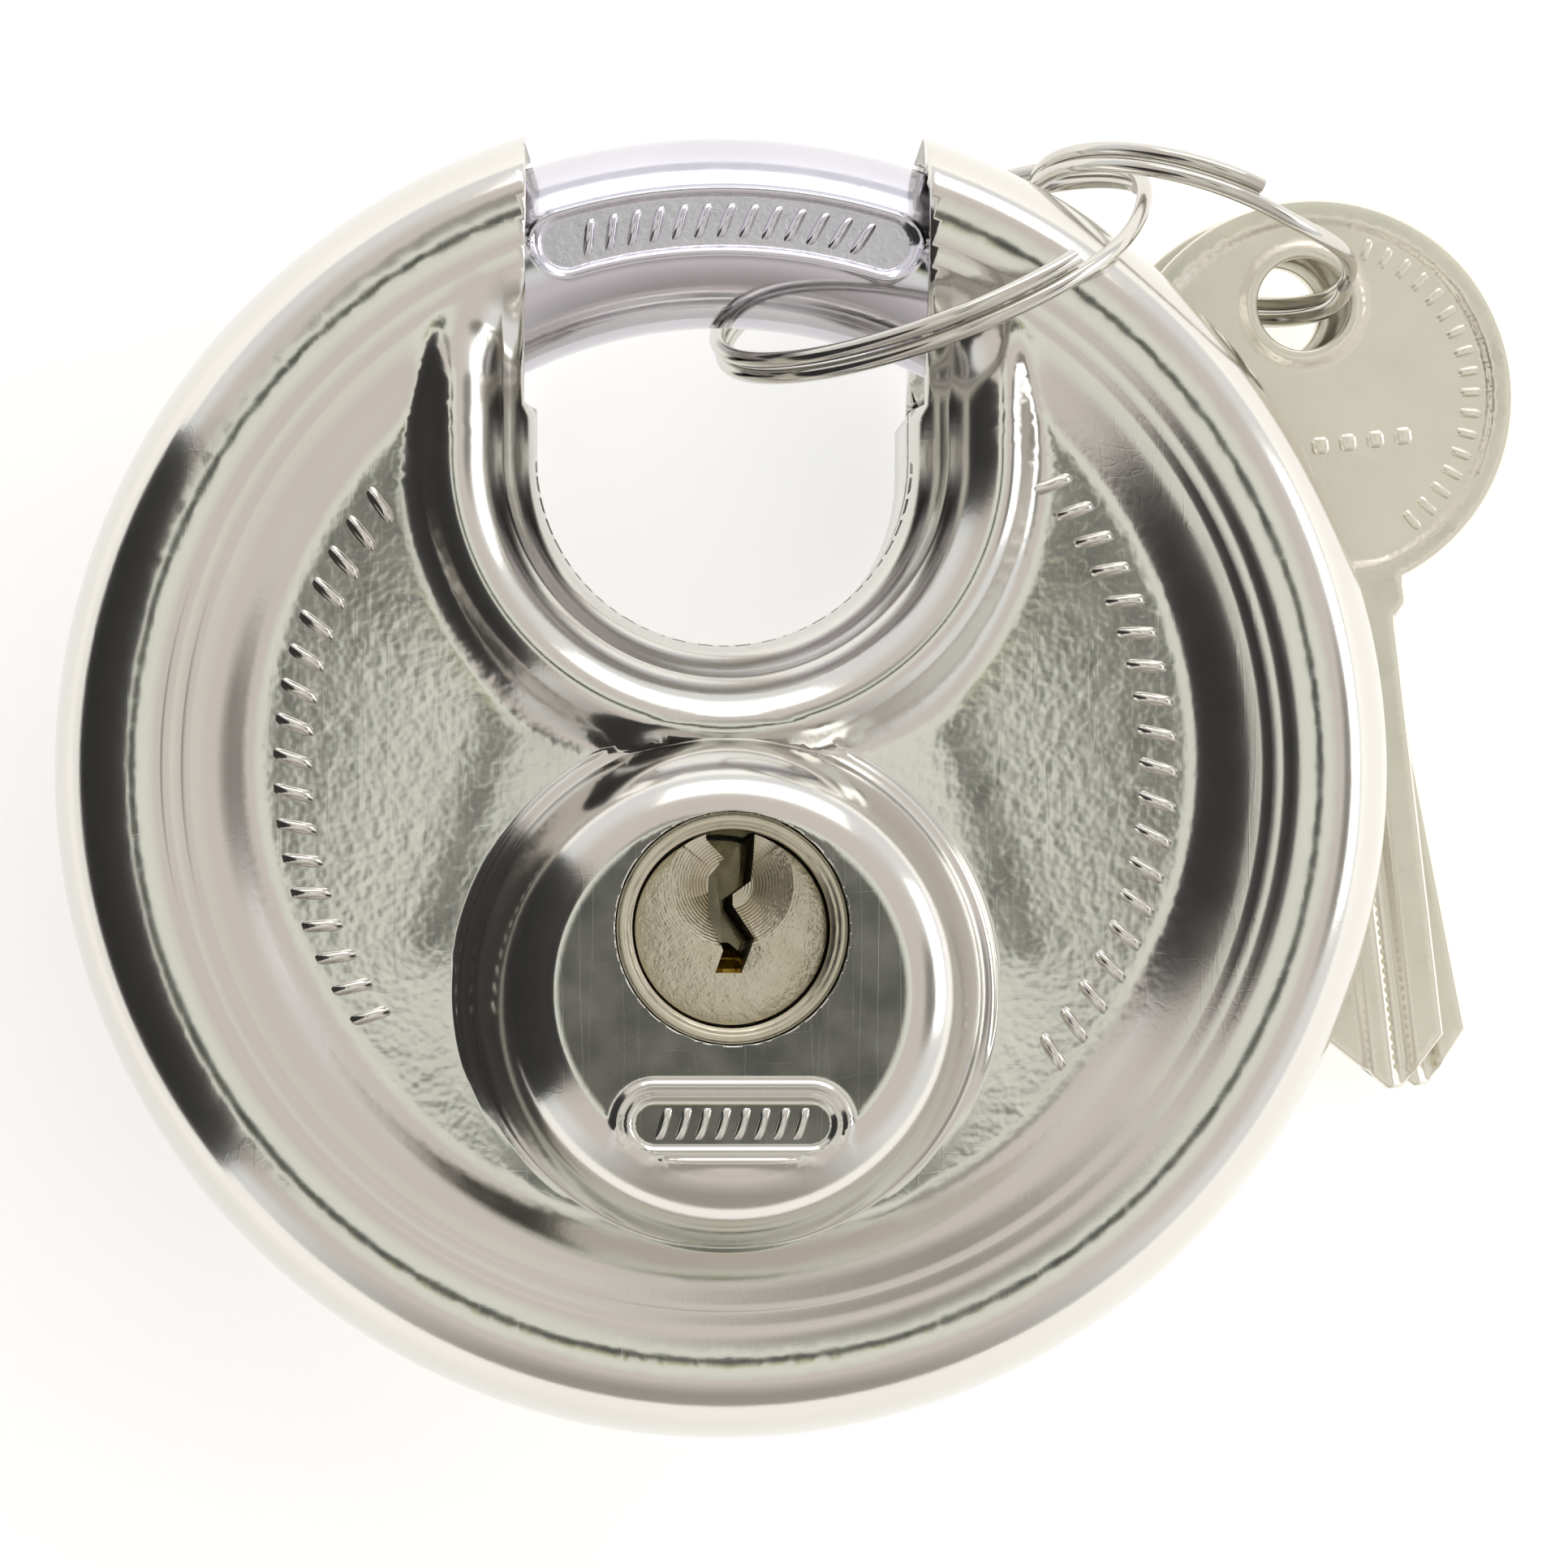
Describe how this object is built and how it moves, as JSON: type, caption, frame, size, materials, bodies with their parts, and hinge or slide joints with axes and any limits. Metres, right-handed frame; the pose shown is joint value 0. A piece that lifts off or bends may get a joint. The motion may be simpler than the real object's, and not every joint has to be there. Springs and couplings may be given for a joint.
{
  "type": "disc padlock",
  "caption": "Round disc padlock with a recessed arc shackle across a U-shaped throat, an eccentric cylinder boss, and flat keys on linked split rings.",
  "frame": {"origin": "on the axis of the disc, in the flat back face that the padlock lies on", "axes": "+Z out of the front face, +Y from the disc's middle to the middle of the shackle, +X to the right seen from the front"},
  "size_m": [0.078, 0.0683, 0.0272],
  "materials": {
    "shell_stainless": "satin stainless, tumbled and electropolished, with fine dings",
    "shackle_chrome": "bright, cool tinted",
    "cast_zinc": "die-cast zinc, dull",
    "hardened_steel": "dark, hardened",
    "nickelled_brass": "nickelled, machined",
    "brass": "turned",
    "bright_steel": "bright zinc-plated steel",
    "nickel_silver": "nickel silver, stamped and tumbled"
  },
  "bodies": {
    "casing": {"front_shell": "shell_stainless", "rear_shell": "shell_stainless", "core_block": "cast_zinc", "drill_guard_plate": "hardened_steel", "cylinder_housing": "nickelled_brass", "spring_cover": "bright_steel", "driver_pin_1": "bright_steel", "driver_pin_2": "bright_steel", "driver_pin_3": "bright_steel", "driver_pin_4": "bright_steel", "driver_pin_5": "bright_steel", "pin_spring_1": "bright_steel", "pin_spring_2": "bright_steel", "pin_spring_3": "bright_steel", "pin_spring_4": "bright_steel", "pin_spring_5": "bright_steel"},
    "plug": {"plug": "nickelled_brass", "drive_arm": "hardened_steel", "tail_washer": "bright_steel", "retaining_clip": "bright_steel", "key_pin_1": "brass", "key_pin_2": "brass", "key_pin_3": "brass", "key_pin_4": "brass", "key_pin_5": "brass"},
    "shackle": {"shackle": "shackle_chrome"},
    "split_ring_large": {"split_ring_large": "bright_steel"},
    "split_ring_small": {"split_ring_small": "bright_steel"},
    "key_1": {"key_1": "nickel_silver"},
    "key_2": {"key_2": "nickel_silver"}
  },
  "joints": [
    {"name": "plug_turn", "type": "hinge", "parent": "casing", "child": "plug", "pos_m": [0, -0.0085, 0], "axis": [0, 0, -1], "range_deg": [0, 80]},
    {"name": "shackle_turn", "type": "hinge", "parent": "casing", "child": "shackle", "pos_m": [0, 0, 0.014], "axis": [0, 0, -1], "range_deg": [0, 55]},
    {"name": "large_ring_swing", "type": "hinge", "parent": "casing", "child": "split_ring_large", "pos_m": [0.01114, 0.02661, 0.0133], "axis": [0, 0, 1], "range_deg": [0, 12]},
    {"name": "small_ring_swing", "type": "hinge", "parent": "split_ring_large", "child": "split_ring_small", "pos_m": [0.0222, 0.03126, 0.0133], "axis": [0, 0, 1], "range_deg": [0, 10]},
    {"name": "key_1_swing", "type": "hinge", "parent": "split_ring_small", "child": "key_1", "pos_m": [0.03166, 0.02558, 0.00583], "axis": [-0.0326, -0.0506, 0.9982], "range_deg": [0, 60]},
    {"name": "key_2_swing", "type": "hinge", "parent": "split_ring_small", "child": "key_2", "pos_m": [0.03023, 0.02524, 0.00346], "axis": [-0.0327, -0.0505, 0.9982], "range_deg": [0, 60]}
  ],
  "couplings": [
    {"joint": "shackle_turn", "follows": "plug_turn", "ratio": 0.6857}
  ]
}
